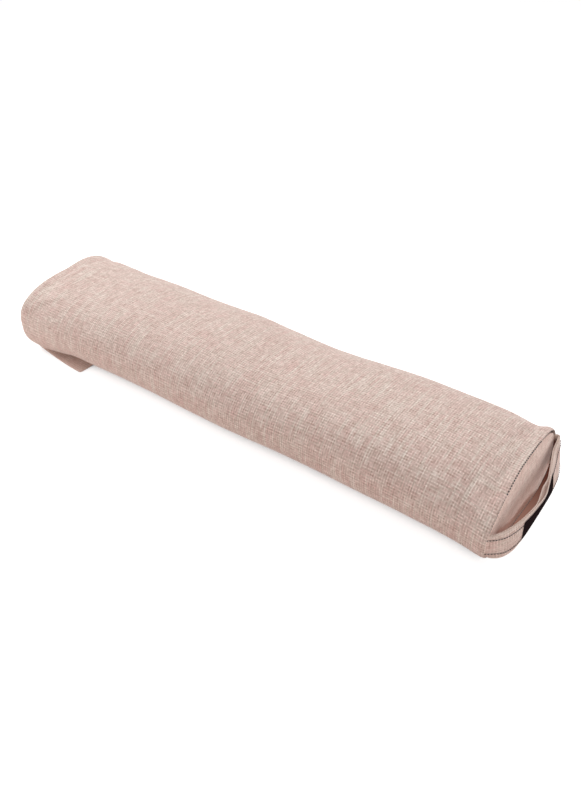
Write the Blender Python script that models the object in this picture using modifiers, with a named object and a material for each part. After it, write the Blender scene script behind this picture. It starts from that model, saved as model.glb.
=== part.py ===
"""Yoga bolster: a filled oval cushion in a linen-look cover, with a sewn strap handle.

The cover is a tube of cloth with a crowned panel at each end. At the handle end a
two-layer strap is sewn across the end panel, with a bare woven label on its outside.
At the other end the cover closes under the bolster with a hinged cloth flap, held by
a strip of hooks on the cover and a strip of loops on the flap. Inside lie a lining
bag with its mouth panel and the filling. Units are metres, +Z is up, +X points to
the handle end, and the origin is the centre of the flat rest on the underside.
"""

import bpy
import bmesh
from math import copysign, cos, pi, radians, sin
from mathutils import Matrix, Vector

# Overall size of the filled cover, seam to seam
LENGTH = 0.710
WIDTH = 0.191
HEIGHT = 0.096
SECTION_POWER = 2.36        # 2 is an ellipse, larger is squarer
REST_DEPTH = 0.0005         # how far the round underside is cut flat

# Soft swells and dips of the filled cushion: the place of each along it and its reach,
# then how much it changes the half width and the height of the top
SWELLS = (
    (-0.290, 0.110, 0.0012, -0.0026),
    (-0.135, 0.090, -0.0018, -0.0008),
    (0.045, 0.110, 0.0000, -0.0045),
    (0.105, 0.110, -0.0038, 0.0000),
    (0.220, 0.110, -0.0014, 0.0032),
    (0.370, 0.080, 0.0020, -0.0080),
)
NEAR_ROUND = 0.016          # length over which the handle end rounds to its seam
NEAR_INSET = 0.0025         # draw-in at that seam
FAR_ROUND = 0.031           # the same at the flap end
FAR_INSET = 0.002

# The flap end is squarer below, and its upper rear corner stands further out
FAR_POWER_BELOW = 3.8
FAR_POWER_REACH = 0.100
FAR_LEAN = 0.014
FAR_LEAN_REACH = 0.070

# Cloth, seams and clearances
CLOTH = 0.0012
LINER_CLOTH = 0.0008
SEAM_ALLOWANCE = 0.006      # turned-in edge of each end panel
GAP = 0.0003
NEAR_CROWN = 0.0045         # rise of the end panels
FAR_CROWN = 0.006
LINER_END_DRAW = 0.005      # round corners of the lining bag
CORE_END_DRAW = 0.008       # and of the filling in it
LINER_MOUTH_SHARE = 0.9     # the bag's mouth, as a share of its panel

# Closing flap at the far end, folded under the bolster
FLAP_LENGTH = 0.106
FLAP_ROOT_WIDTH = 0.148
FLAP_END_WIDTH = 0.176
FLAP_THICKNESS = 0.0012
STRIP_THICKNESS = 0.0006
STRIP_WIDTH = 0.020
STRIP_LENGTH = 0.060
STRIP_FROM_EDGE = 0.008     # from the flap's free edge
MOUTH_LENGTH = 0.050        # opening in the cover, under the flap
MOUTH_WIDTH = 0.130
MOUTH_FROM_END = 0.020
MOUTH_CORNER = 0.006

# Strap handle at the near end
BAND_HEIGHT = 0.036
BAND_CENTRE = 0.040         # height of the band's middle over the floor
BAND_LAYER = 0.0013
BAND_BOW = 0.0225           # how far the band stands out of its sewn ends
BAND_END_MARGIN = 0.002     # from the cover's side to the end of the band
FRONT_FULLNESS = 2.5        # the front of the loop is full, the back nearly straight
REAR_FULLNESS = 1.25
TAB_LENGTH = 0.034          # sewn end of the band that stays with the cover
GRIP_START = -0.030         # the layers part between these two places
GRIP_END = 0.024
GRIP_OPENING = 0.0045
LABEL_START = -0.049
LABEL_END = 0.038
LABEL_HEIGHT = 0.027
LABEL_THICKNESS = 0.0006

# Fineness of the meshes, and where the cover's cross-sections lie along it
RING_SIDES = 36
FAR_SHARES = (0.0, 0.08, 0.32, 1.0, 2.1)
MIDDLE_SHARES = (0.17, 0.33, 0.5, 0.62, 0.76, 0.9)
NEAR_SHARES = (1.0, 0.3, 0.0)
CROWN_STEPS = (1.0, 0.94, 0.82, 0.64, 0.42, 0.2)
CROWN_POWER = 1.3           # above 1 the crown starts flat at its seam
FLAP_SIDE_POWER = 0.8       # below 1 the flap's long sides bow outward
FLAP_SIDE_STEPS = 6
FOLD_SIDES = 16
BAND_STEP = 0.006
SHARP_ANGLE = radians(35)

# Sizes that follow from the ones above
CENTRE_Z = HEIGHT / 2 - REST_DEPTH
FAR_END = -LENGTH / 2
NEAR_END = LENGTH / 2
FLAP_END = FAR_END + FLAP_LENGTH
FLAP_ROOM = FLAP_THICKNESS + 2 * STRIP_THICKNESS + 3 * GAP
FOLD_RADIUS = (FLAP_ROOM - GAP) / 2
FOLD_X = FAR_END + FOLD_RADIUS
RAMP_LENGTH = 4 * FLAP_ROOM
LINER_INSET = CLOTH + GAP
CORE_INSET = LINER_INSET + LINER_CLOTH + GAP
BAND_HALF_SPAN = WIDTH / 2 - NEAR_INSET - BAND_END_MARGIN
BAND_THICKNESS = 2 * BAND_LAYER + GAP
BAND_FOOT = BAND_THICKNESS + GAP
TAB_EDGE = BAND_HALF_SPAN - TAB_LENGTH


def make_material(name, colour, roughness):
    """A plain Principled material."""
    material = bpy.data.materials.new(name)
    material.use_nodes = True
    shader = material.node_tree.nodes["Principled BSDF"]
    shader.inputs["Base Color"].default_value = (*colour, 1.0)
    shader.inputs["Roughness"].default_value = roughness
    shader.inputs["Metallic"].default_value = 0.0
    return material


def add_mesh(name, builder, material, collection):
    """Turn a bmesh into a named object at the world's origin."""
    mesh = bpy.data.meshes.new(name)
    builder.to_mesh(mesh)
    builder.free()
    mesh.shade_smooth()
    mesh.set_sharp_from_angle(angle=SHARP_ANGLE)
    if material:
        mesh.materials.append(material)
    obj = bpy.data.objects.new(name, mesh)
    collection.objects.link(obj)
    return obj


def add_solid(name, builder, material, pivot=None):
    """A closed piece from a bmesh in world coordinates, carried by its pivot if any."""
    bmesh.ops.recalc_face_normals(builder, faces=builder.faces)
    if pivot:
        bmesh.ops.translate(builder, vec=-pivot.location, verts=builder.verts)
    obj = add_mesh(name, builder, material, parts)
    obj.parent = pivot
    return obj


def add_cutter(name, builder, place):
    """A hidden solid that a Boolean takes away or adds."""
    cutter = add_mesh(name, builder, None, cutters)
    cutter.location = place
    cutter.hide_render = True
    cutter.display_type = "WIRE"
    return cutter


def add_boolean(obj, operation, other):
    """Cut another solid out of this one, or join it on."""
    boolean = obj.modifiers.new(other.name, "BOOLEAN")
    boolean.operation = operation
    boolean.solver = "EXACT"
    boolean.object = other


def add_pivot(name, place):
    """An empty on a joint's axis, which carries the pieces that move."""
    pivot = bpy.data.objects.new(name, None)
    pivot.location = place
    parts.objects.link(pivot)
    return pivot


def rounded(value, exponent):
    """Signed power, which turns a circle's coordinate into the squarer oval's."""
    return copysign(abs(value) ** exponent, value)


def oval_ring(x, half_width, top, bottom, power_below, cut):
    """One cross-section of the bolster: a squarish oval, cut flat below."""
    middle = (top + bottom) / 2
    half_height = (top - bottom) / 2
    ring = []
    for index in range(RING_SIDES):
        turn = 2 * pi * index / RING_SIDES
        power = SECTION_POWER if turn <= pi else power_below
        y = half_width * rounded(cos(turn), 2 / power)
        z = middle + half_height * rounded(sin(turn), 2 / power)
        ring.append(Vector((x, y, max(z, cut))))
    return ring


def swell(distance, reach):
    """1 at the middle of a swell and 0 at its reach, smooth in between."""
    share = min(abs(distance) / reach, 1.0)
    return (1 - share ** 2) ** 2


def fullness(x):
    """Change of the half width and of the top at x."""
    side = sum(wider * swell(x - place, reach) for place, reach, wider, _ in SWELLS)
    rise = sum(higher * swell(x - place, reach) for place, reach, _, higher in SWELLS)
    return side, rise


def end_rounding(x, end, length):
    """0 away from an end, 1 at its seam, along a quarter round."""
    into = max(0.0, 1 - abs(end - x) / length)
    return 1 - (1 - into ** 2) ** 0.5


def underside(x):
    """Height of the flat underside: the floor, or the room over the folded flap."""
    lift = (FLAP_END + RAMP_LENGTH - x) / RAMP_LENGTH
    return FLAP_ROOM * min(max(lift, 0.0), 1.0)


def body_ring(x, inset=0.0):
    """Cross-section of the filled cover at x, drawn in all round by inset."""
    near = end_rounding(x, NEAR_END, NEAR_ROUND)
    far = end_rounding(x, FAR_END, FAR_ROUND)
    side, rise = fullness(x)
    half_width = WIDTH / 2 + side - NEAR_INSET * near - FAR_INSET * far - inset
    top = HEIGHT - REST_DEPTH + rise - NEAR_INSET * near - inset
    bottom = NEAR_INSET * near + (FLAP_ROOM + REST_DEPTH) * far + inset - REST_DEPTH
    squarer = (FAR_POWER_BELOW - SECTION_POWER) * swell(x - FAR_END, FAR_POWER_REACH)
    return oval_ring(x, half_width, top, bottom, SECTION_POWER + squarer, underside(x) + inset)


def scaled_ring(ring, x, scale):
    """A ring drawn in towards its own middle and moved to x."""
    low = min(point.z for point in ring)
    high = max(point.z for point in ring)
    middle = (low + high) / 2
    return [Vector((x, p.y * scale, middle + (p.z - middle) * scale)) for p in ring]


def crown_rings(rim, x, rise):
    """Rings from the rim of an end panel to the top of its crown."""
    rings = []
    for scale in CROWN_STEPS:
        height = rise * (1 - scale ** 2) ** CROWN_POWER
        rings.append(scaled_ring(rim, x + height, scale))
    return rings


def lean_out(builder):
    """Let the upper rear corner of the flap end stand out, smoothly."""
    for vert in builder.verts:
        share = swell(max(vert.co.x - FAR_END, 0.0), FAR_LEAN_REACH)
        corner = max(vert.co.y, 0.0) / (WIDTH / 2) * vert.co.z / HEIGHT
        vert.co.x -= FAR_LEAN * share * corner


def loft(rings, close_first=False, close_last=False):
    """Skin a row of the cushion's rings with equal numbers of points."""
    builder = bmesh.new()
    rows = [[builder.verts.new(point) for point in ring] for ring in rings]
    for row, following in zip(rows, rows[1:]):
        for index in range(len(row)):
            after = (index + 1) % len(row)
            builder.faces.new((row[index], row[after], following[after], following[index]))
    if close_first:
        builder.faces.new(rows[0])
    if close_last:
        builder.faces.new(rows[-1])
    lean_out(builder)
    return builder


def add_cloth(name, builder, thickness, material):
    """A cloth piece from an open surface, with its thickness on the inner side."""
    bmesh.ops.recalc_face_normals(builder, faces=builder.faces)
    highest = max(builder.faces, key=lambda face: face.calc_center_median().z)
    if highest.normal.dot(highest.calc_center_median() - Vector((0, 0, CENTRE_Z))) < 0:
        bmesh.ops.reverse_faces(builder, faces=builder.faces)
    obj = add_mesh(name, builder, material, parts)
    solidify = obj.modifiers.new("cloth_thickness", "SOLIDIFY")
    solidify.thickness = thickness
    solidify.offset = -1.0
    solidify.use_even_offset = True
    return obj


def body_stations():
    """Places of the cover's cross-sections, closer where it rounds or steps."""
    far = [FAR_END + FAR_ROUND * share for share in FAR_SHARES]
    ramp = [FLAP_END, FLAP_END + RAMP_LENGTH]
    straight = NEAR_END - NEAR_ROUND - ramp[-1]
    middle = [ramp[-1] + straight * share for share in MIDDLE_SHARES]
    near = [NEAR_END - NEAR_ROUND * share for share in NEAR_SHARES]
    return far + ramp + middle + near


def cut_mouth(cover):
    """Cut the cover's mouth, which the closing flap hides."""
    builder = bmesh.new()
    bmesh.ops.create_cube(builder, size=1.0)
    bmesh.ops.scale(builder, vec=(MOUTH_LENGTH, MOUTH_WIDTH, CENTRE_Z), verts=builder.verts)
    upright = [edge for edge in builder.edges
               if abs(edge.verts[0].co.z - edge.verts[1].co.z) > CENTRE_Z / 2]
    bmesh.ops.bevel(builder, geom=upright, offset=MOUTH_CORNER, segments=3, affect="EDGES")
    place = (FAR_END + MOUTH_FROM_END + MOUTH_LENGTH / 2, 0, 0)
    add_boolean(cover, "DIFFERENCE", add_cutter("mouth", builder, place))


def build_cover(cloth):
    """The cover's tube and its two crowned end panels."""
    tube = add_cloth("cover_tube", loft([body_ring(x) for x in body_stations()]), CLOTH, cloth)
    cut_mouth(tube)
    for name, end, side, rise in (("near_end_panel", NEAR_END, 1, NEAR_CROWN),
                                  ("far_end_panel", FAR_END, -1, -FAR_CROWN)):
        rim = body_ring(end, CLOTH + GAP)
        turned_in = scaled_ring(rim, end - side * SEAM_ALLOWANCE, 1.0)
        add_cloth(name, loft([turned_in] + crown_rings(rim, end, rise), close_last=True), CLOTH, cloth)


def lining_rings(inset, end_draw, near_x, far_x):
    """Rings of an inner piece along the bolster, with its two ends drawn in."""
    inner = [x for x in body_stations() if far_x + FAR_ROUND / 2 < x < near_x - NEAR_ROUND / 4]
    middle = [body_ring(x, inset) for x in inner]
    return [body_ring(far_x, inset + end_draw)] + middle + [body_ring(near_x, inset + end_draw)]


def build_inside(lining, filling):
    """The lining bag, its mouth panel at the far end, and the filling."""
    near_x = NEAR_END - SEAM_ALLOWANCE - GAP
    far_x = FAR_END + SEAM_ALLOWANCE + GAP
    near_rise = NEAR_CROWN + SEAM_ALLOWANCE - CLOTH - GAP
    mouth_x = far_x - LINER_CLOTH - GAP
    mouth_rim = scaled_ring(body_ring(FAR_END, 2 * CLOTH + 3 * GAP), mouth_x, 1.0)
    far_rise = FAR_CROWN + (mouth_x - FAR_END) - CLOTH - 2 * GAP

    body = lining_rings(LINER_INSET, LINER_END_DRAW, near_x, far_x)
    mouth_edge = scaled_ring(mouth_rim, far_x, LINER_MOUTH_SHARE)
    near_crown = crown_rings(body[-1], near_x, near_rise)[1:]
    add_cloth("liner_bag", loft([mouth_edge] + body + near_crown, close_last=True), LINER_CLOTH, lining)
    add_cloth("liner_mouth_panel", loft(crown_rings(mouth_rim, mouth_x, -far_rise), close_last=True),
              LINER_CLOTH, lining)

    core_near = near_x - LINER_CLOTH - GAP
    core_far = far_x + LINER_CLOTH + GAP
    rings = lining_rings(CORE_INSET, CORE_END_DRAW, core_near, core_far)
    crown = crown_rings(rings[-1], core_near, near_rise)[1:]
    add_solid("filling_core", loft(rings + crown, True, True), filling)


def slab(outline, low, high):
    """An upright slab over a closed plan outline of (x, y) points."""
    builder = bmesh.new()
    floor = [builder.verts.new((x, y, low)) for x, y in outline]
    face = builder.faces.new(floor)
    raised = bmesh.ops.extrude_face_region(builder, geom=[face])
    moved = [item for item in raised["geom"] if isinstance(item, bmesh.types.BMVert)]
    bmesh.ops.translate(builder, vec=(0, 0, high - low), verts=moved)
    return builder


def flap_outline():
    """Plan of the flap: a little wider at its free edge, with bowed sides."""
    points = []
    for step in range(FLAP_SIDE_STEPS + 1):
        along = step / FLAP_SIDE_STEPS
        width = FLAP_ROOT_WIDTH + (FLAP_END_WIDTH - FLAP_ROOT_WIDTH) * along ** FLAP_SIDE_POWER
        points.append((FOLD_X + (FLAP_END - FOLD_X) * along, width / 2))
    return points + [(x, -y) for x, y in reversed(points)]


def strip_outline():
    """Plan that the hook strip and the loop strip share."""
    end = FLAP_END - STRIP_FROM_EDGE
    start = end - STRIP_WIDTH
    half = STRIP_LENGTH / 2
    return [(start, -half), (end, -half), (end, half), (start, half)]


def build_flap(cloth, hooks, loops):
    """The closing flap on its round fold, and the two strips that hold it shut."""
    pivot = add_pivot("flap_pivot", Vector((FOLD_X, 0, FOLD_RADIUS)))
    flap = add_solid("closing_flap", slab(flap_outline(), 0, FLAP_THICKNESS), cloth, pivot)
    fold = bmesh.new()
    bmesh.ops.create_cone(fold, cap_ends=True, segments=FOLD_SIDES, radius1=FOLD_RADIUS,
                          radius2=FOLD_RADIUS, depth=FLAP_ROOT_WIDTH,
                          matrix=Matrix.Rotation(pi / 2, 4, "X"))
    add_boolean(flap, "UNION", add_cutter("fold", fold, pivot.location))

    loop_low = FLAP_THICKNESS + GAP
    hook_low = loop_low + STRIP_THICKNESS + GAP
    add_solid("loop_strip", slab(strip_outline(), loop_low, loop_low + STRIP_THICKNESS), loops, pivot)
    add_solid("hook_strip", slab(strip_outline(), hook_low, hook_low + STRIP_THICKNESS), hooks)


def band_reach(y):
    """How far the outside of the strap stands out of the seam, at y across the end."""
    share = min(abs(y) / BAND_HALF_SPAN, 1.0)
    fullness = FRONT_FULLNESS if y < 0 else REAR_FULLNESS
    return BAND_FOOT + BAND_BOW * (1 - share ** fullness)


def grip_gap(y):
    """How far the inner layer bows away from the outer one around the grip."""
    if not GRIP_START < y < GRIP_END:
        return 0.0
    return GRIP_OPENING * sin(pi * (y - GRIP_START) / (GRIP_END - GRIP_START)) ** 2


def band_points(start, end, offset, opened=False):
    """Plan points of one face of the strap, offset inward from its outside."""
    count = max(2, round((end - start) / BAND_STEP))
    points = []
    for step in range(count + 1):
        y = start + (end - start) * step / count
        x = NEAR_END + band_reach(y) - offset
        if opened:
            x -= grip_gap(y)
        points.append((x, y))
    return points


def strap_piece(start, end, outer, inner, opened=False):
    """Closed plan outline of a length of strap between two offsets."""
    front = band_points(start, end, outer, opened)
    back = band_points(start, end, inner, opened)
    return front + back[::-1]


def build_handle(cloth, label_cloth):
    """The sewn ends of the strap, its two-layer loop and the bare label."""
    low = BAND_CENTRE - BAND_HEIGHT / 2
    high = BAND_CENTRE + BAND_HEIGHT / 2
    for name, start, end in (("handle_end_front", -BAND_HALF_SPAN, -TAB_EDGE - GAP),
                             ("handle_end_rear", TAB_EDGE + GAP, BAND_HALF_SPAN)):
        add_solid(name, slab(strap_piece(start, end, 0, BAND_THICKNESS), low, high), cloth)

    pivot = add_pivot("handle_pivot", Vector((NEAR_END + BAND_FOOT / 2, 0, BAND_CENTRE)))
    outer = strap_piece(-TAB_EDGE, TAB_EDGE, 0, BAND_LAYER)
    add_solid("handle_outer_layer", slab(outer, low, high), cloth, pivot)
    inner = strap_piece(-TAB_EDGE, TAB_EDGE, BAND_LAYER + GAP, BAND_THICKNESS, True)
    add_solid("handle_inner_layer", slab(inner, low, high), cloth, pivot)
    label = strap_piece(LABEL_START, LABEL_END, -GAP - LABEL_THICKNESS, -GAP)
    label_low = BAND_CENTRE - LABEL_HEIGHT / 2
    add_solid("handle_label", slab(label, label_low, label_low + LABEL_HEIGHT), label_cloth, pivot)


def main():
    cover_cloth = make_material("cover_linen", (0.62, 0.44, 0.38), 0.95)
    strap_cloth = make_material("strap_linen", (0.60, 0.42, 0.36), 0.95)
    label_cloth = make_material("label_satin", (0.02, 0.018, 0.02), 0.6)
    lining_cloth = make_material("lining_cotton", (0.80, 0.78, 0.72), 0.95)
    filling = make_material("cotton_filling", (0.86, 0.84, 0.78), 1.0)
    hooks = make_material("hook_tape", (0.55, 0.42, 0.38), 0.6)
    loops = make_material("loop_tape", (0.58, 0.44, 0.40), 0.95)
    build_cover(cover_cloth)
    build_inside(lining_cloth, filling)
    build_flap(cover_cloth, hooks, loops)
    build_handle(strap_cloth, label_cloth)


for old in list(bpy.data.objects):
    bpy.data.objects.remove(old, do_unlink=True)
parts = bpy.data.collections.new("yoga_bolster")
cutters = bpy.data.collections.new("cutters")
bpy.context.scene.collection.children.link(parts)
bpy.context.scene.collection.children.link(cutters)
main()
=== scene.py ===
"""Looks of the yoga bolster: linen cover, strap handle, bare label and closing flap."""

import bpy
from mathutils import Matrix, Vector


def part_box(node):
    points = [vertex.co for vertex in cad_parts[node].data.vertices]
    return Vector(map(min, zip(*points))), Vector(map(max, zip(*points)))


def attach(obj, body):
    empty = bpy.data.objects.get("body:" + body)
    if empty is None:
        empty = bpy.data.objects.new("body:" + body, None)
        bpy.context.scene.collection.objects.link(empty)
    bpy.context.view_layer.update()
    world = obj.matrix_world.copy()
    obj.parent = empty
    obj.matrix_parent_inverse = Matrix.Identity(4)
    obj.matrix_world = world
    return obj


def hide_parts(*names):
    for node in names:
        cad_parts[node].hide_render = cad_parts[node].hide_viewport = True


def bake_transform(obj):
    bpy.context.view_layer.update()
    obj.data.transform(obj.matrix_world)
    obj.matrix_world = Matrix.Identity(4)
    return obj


bl_info = {
    "name": "Yoga bolster looks",
    "version": (1, 0, 0),
    "blender": (4, 5, 0),
    "location": "View3D > Sidebar > Bolster",
    "description": "Dresses the packed yoga bolster in its linen cover, strap and closing flap",
    "category": "Add Mesh",
}

from math import atan2, ceil, copysign, cos, hypot, pi, radians, sin, sqrt

import bmesh
import bpy
from bpy.props import FloatProperty, FloatVectorProperty, IntProperty, PointerProperty
from mathutils import Matrix, Vector, noise

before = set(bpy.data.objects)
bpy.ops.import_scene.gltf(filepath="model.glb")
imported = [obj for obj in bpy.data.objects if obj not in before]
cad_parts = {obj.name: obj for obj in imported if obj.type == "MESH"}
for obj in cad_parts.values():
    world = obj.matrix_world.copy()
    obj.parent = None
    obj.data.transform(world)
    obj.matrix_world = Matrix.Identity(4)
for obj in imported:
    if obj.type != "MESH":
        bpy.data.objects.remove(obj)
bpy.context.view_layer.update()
FLAP_LOW, FLAP_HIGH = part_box("closing_flap")
LOOP_LOW, LOOP_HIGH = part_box("handle_outer_layer")
LABEL_LOW, LABEL_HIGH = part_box("handle_label")
END_LOW, END_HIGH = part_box("handle_end_front")

# Soft unevenness of the filled cover: place and reach along it, then the change of
# its half width and of its top, in metres
SWELLS = (
    (-0.290, 0.110, 0.0012, -0.0026),
    (-0.135, 0.090, -0.0018, -0.0008),
    (0.045, 0.110, 0.0000, -0.0045),
    (0.105, 0.110, -0.0038, 0.0000),
    (0.220, 0.110, -0.0014, 0.0032),
    (0.370, 0.080, 0.0020, -0.0068),
)

# Where the cover rounds to its end seams
NEAR_ROUND = 0.010
NEAR_INSET = 0.001
FAR_ROUND = 0.031
FAR_SIDE_INSET = 0.002

# The far end is squarer below, and its upper rear corner stands further out
FAR_LOW_SQUARENESS = 3.8
FAR_SQUARE_REACH = 0.100
FAR_LEAN = 0.023
FAR_LEAN_REACH = 0.070

# The near end is squarer at its lower rear corner
NEAR_LOW_SQUARENESS = 3.3
NEAR_SQUARE_REACH = 0.070

# The upper part of the near seam is set back, except at its front
NEAR_LEAN = 0.0042
NEAR_LEAN_REACH = 0.050
NEAR_LEAN_FRONT = -0.085
NEAR_LEAN_REAR = -0.015

# Its lower rear part stands out a little
NEAR_LOW_OUT = 0.0024
NEAR_OUT_FULL = 0.060

# Its cloth stands over the seam at the upper rear corner
WELT = 0.0030
WELT_TURN = 0.62
WELT_SPREAD = 0.65
WELT_FROM_SEAM = 0.0040
WELT_REACH = 0.013

# The cover's lift over the folded flap, its ramp down to the floor, and how far its
# round section dips under the floor, which gives it a flat to lie on
FLAP_ROOM = 0.0033
RAMP_LENGTH = 0.0132
FLOOR_SINK = 0.0005

# Mouth of the cover, under the flap
MOUTH_START = 0.020
MOUTH_LENGTH = 0.050
MOUTH_HALF_WIDTH = 0.065

# Where the cover is held while it fills: near its seams, where it rests and round its
# mouth. The second value of a pair is the way over which the hold lets go
HELD_SEAM = (0.005, 0.012)
HELD_REST = (0.001, 0.004)
HELD_PAST_MOUTH = 0.03
HELD_MOUTH_HEIGHT = 0.014

# A vertex that moves this many times the most it may has come loose
LOST_MOVES = 20

# Small folds at the end seams: how far they reach, how close they lie across and along
# the cover, and the slower unevenness beside them
PUCKER_REACH = 0.022
PUCKER_ACROSS = 105
PUCKER_ALONG = 25
UNEVEN_SHARE = 0.25
UNEVEN_SCALE = 22
UNEVEN_FROM_SEAM = 0.03
PUCKER_FLOOR = 0.012

# Cross-sections of the cover. At a seam its cloth turns in over three steps, each a
# distance from the seam and an inset. The sections lie closer next to the seams, at the
# mouth and its edges and on the ramp, and even from there on
FAR_TURN_IN = ((0.006, 0.0022), (0.0012, 0.0016), (0.0, 0.0007))
FAR_STEPS = (0.0006, 0.0022, 0.005, 0.009, 0.0145)
MOUTH_EDGE = 0.0012
MOUTH_SHARES = (0.12, 0.25, 0.4, 0.6, 0.8, 0.95, 1.0)
PAST_MOUTH = 0.008
BEFORE_RAMP = 0.002
RAMP_SHARES = (0.15, 0.4, 0.65, 0.9)
EVEN_START = RAMP_LENGTH * 1.3
EVEN_STEP = 0.006
EVEN_END = 0.018
NEAR_STEPS = (0.013, 0.009, 0.0055, 0.003, 0.0014, 0.0005)
NEAR_TURN_IN = ((0.0, 0.0006), (0.0012, 0.0016), (0.006, 0.0022))

# End panels: the gap to the seam, their inset in the tube and their turned-in edge,
# then the share of the crown at their lower edge and how flat its middle is
PANEL_GAP = 0.0003
PANEL_INSET = 0.0013
PANEL_FLANGE = 0.005
NEAR_CROWN_FORM = (0.15, 2.4)
FAR_CROWN_FORM = (0.35, 2.2)
CROWN_POWER = 1.2
CROWN_SLACK_START = 0.15

# Their folds to the tube's, and where those start. Each edge turns in by a step and a
# draw, and then runs on as a flange with a draw of its own
PANEL_FOLDS = 1.2
PANEL_FOLDS_START = 0.002
PANEL_TURN = (0.0012, 0.0006)
FLANGE_DRAW = 0.0004

# Lining and filling: how their ends turn in, each step a distance and an inset, how far
# from there the cover's sections start, then the mouth panel's place, inset, edge,
# crown to the far end's, and cloth
LINING_TURN_IN = ((0.0, 0.0035), (0.001, 0.002))
LINING_CLEAR = 0.003
LINING_MOUTH_IN = 0.0048
LINING_MOUTH_INSET = 0.0036
LINING_MOUTH_FLANGE = 0.001
LINING_MOUTH_CROWN = 0.6
LINING_CLOTH = 0.0006

# A stitch's height to its width
STITCH_HEIGHT = 0.8

# Seam stitches at the handle end: their length, how far they lie inside the seam and
# sunk in the cloth, where the seam lies open and they rise, their pitch and radius
# there and where the seam is drawn in, and where the strap's ends cover the seam
STITCH_LENGTH = 0.0027
SEAM_STITCH_IN = 0.0002
SEAM_STITCH_SUNK = 0.0009
SEAM_STITCH_RAISED = 0.0001
SEAM_OPEN_LOW = 0.06
SEAM_OPEN_FRONT = -0.060
SEAM_OPEN_REAR = 0.038
SEAM_STITCHES = {"open": (0.0038, 0.0008), "drawn_in": (0.0030, 0.0003)}
STRAP_COVERS_LOW = 0.002
STRAP_COVERS_HIGH = 0.001
STRAP_COVERS_FROM = 0.06

# Layers of cloth attributes, and the fineness of a section's measuring steps
WEAVE = "weave"
# The edge layer marks the strap's folded edges, which take a painted highlight
EDGE_HIGHLIGHT_LAYER = "painted_edge_highlight"
SHADE = "strap_shade"
STEPS_PER_SECTION = 1440


class BolsterSizes(bpy.types.PropertyGroup):
    """Sizes of the filled cover and its cloth."""

    length: FloatProperty(
        name="Length", description="From end seam to end seam",
        default=0.710, unit="LENGTH")
    width: FloatProperty(
        name="Width", description="Across it, without its swells", default=0.191, unit="LENGTH")
    top: FloatProperty(
        name="Top", description="Height of the top over the floor, without its swells",
        default=0.0955, unit="LENGTH")
    squareness: FloatProperty(
        name="Squareness", description="2 is an ellipse, larger is squarer", default=2.36)
    cloth: FloatProperty(
        name="Cloth", description="Thickness of the cover's cloth", default=0.0012, unit="LENGTH")
    near_crown: FloatProperty(
        name="Near crown", description="Rise of the panel at the handle end",
        default=0.0055, unit="LENGTH")
    near_crown_slack: FloatProperty(
        name="Near crown slack", description="Share of that rise that is missing at its front",
        default=0.45)
    far_crown: FloatProperty(
        name="Far crown", description="Rise of the panel at the flap end",
        default=0.0045, unit="LENGTH")
    around: IntProperty(name="Around", description="Mesh faces round the cover", default=96)
    pucker: FloatProperty(
        name="Pucker", description="Depth of the small folds at the end seams",
        default=0.0006, unit="LENGTH")


class Filling(bpy.types.PropertyGroup):
    """How the filling presses the cover out."""

    pressure: FloatProperty(name="Pressure", description="Of the filling", default=4.0)
    cloth_mass: FloatProperty(
        name="Cloth mass", description="Of one vertex, in kilograms", default=0.3)
    ease: FloatProperty(
        name="Ease", description="Share by which the cloth is larger than its form", default=0.012)
    start_inset: FloatProperty(
        name="Start inset", description="How much smaller the cover starts", default=0.0015,
        unit="LENGTH")
    most_move: FloatProperty(
        name="Most move", description="Furthest that a point settles from its form",
        default=0.0018, unit="LENGTH")
    frames: IntProperty(name="Frames", description="Steps until it is at rest", default=20)
    quality: IntProperty(name="Quality", description="Steps within each frame", default=6)


class LinenLook(bpy.types.PropertyGroup):
    """Colours and thread of the linen-look cloth."""

    cream: FloatVectorProperty(
        name="Cream", description="Colour of the light threads", subtype="COLOR",
        default=(0.704, 0.617, 0.545))
    pink: FloatVectorProperty(
        name="Dusty pink", description="Colour of the dark threads", subtype="COLOR",
        default=(0.597, 0.393, 0.350))
    pitch: FloatProperty(
        name="Thread pitch", description="From one thread to the next", default=0.00146,
        unit="LENGTH")
    warp_share: FloatProperty(
        name="Warp share", description="Pitch of the lengthwise threads, as a share of the other",
        default=1.15)
    thread_contrast: FloatProperty(
        name="Thread contrast", description="How much the threads differ in lightness",
        default=0.165)
    fleck_contrast: FloatProperty(
        name="Fleck contrast", description="How much the crossings differ in lightness",
        default=0.30)
    dark_thread: FloatVectorProperty(
        name="Sewing thread", description="Colour of the visible stitches", subtype="COLOR",
        default=(0.028, 0.022, 0.022))
    label: FloatVectorProperty(
        name="Label", description="Colour of the woven label", subtype="COLOR",
        default=(0.0145, 0.0095, 0.0105))


class StrapSizes(bpy.types.PropertyGroup):
    """Sizes of the strap handle, its stitches and its label."""

    top: FloatProperty(
        name="Top edge", description="Height of the upper edge", default=LOOP_HIGH.z - 0.0005,
        unit="LENGTH")
    bottom: FloatProperty(
        name="Bottom edge", description="Height of the lower edge", default=LOOP_LOW.z + 0.0005,
        unit="LENGTH")
    layer: FloatProperty(
        name="Layer", description="Thickness of one layer", default=0.0013, unit="LENGTH")
    grip_opening: FloatProperty(
        name="Grip opening", description="How far the layers part at the grip", default=0.0045,
        unit="LENGTH")
    stitch: FloatProperty(
        name="Stitch", description="Length of one stitch", default=0.0027, unit="LENGTH")
    stitch_pitch: FloatProperty(
        name="Stitch pitch", description="From one stitch to the next", default=0.0032,
        unit="LENGTH")


class StageLook(bpy.types.PropertyGroup):
    """Light and floor."""

    sky: FloatProperty(name="Sky", description="Light from all round", default=0.33)
    lamp: FloatProperty(name="Lamps", description="Strength of the lamps", default=1.0)
    floor_colour: FloatVectorProperty(
        name="Floor", description="Colour of the floor", subtype="COLOR",
        default=(0.98, 0.84, 0.79))


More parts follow.
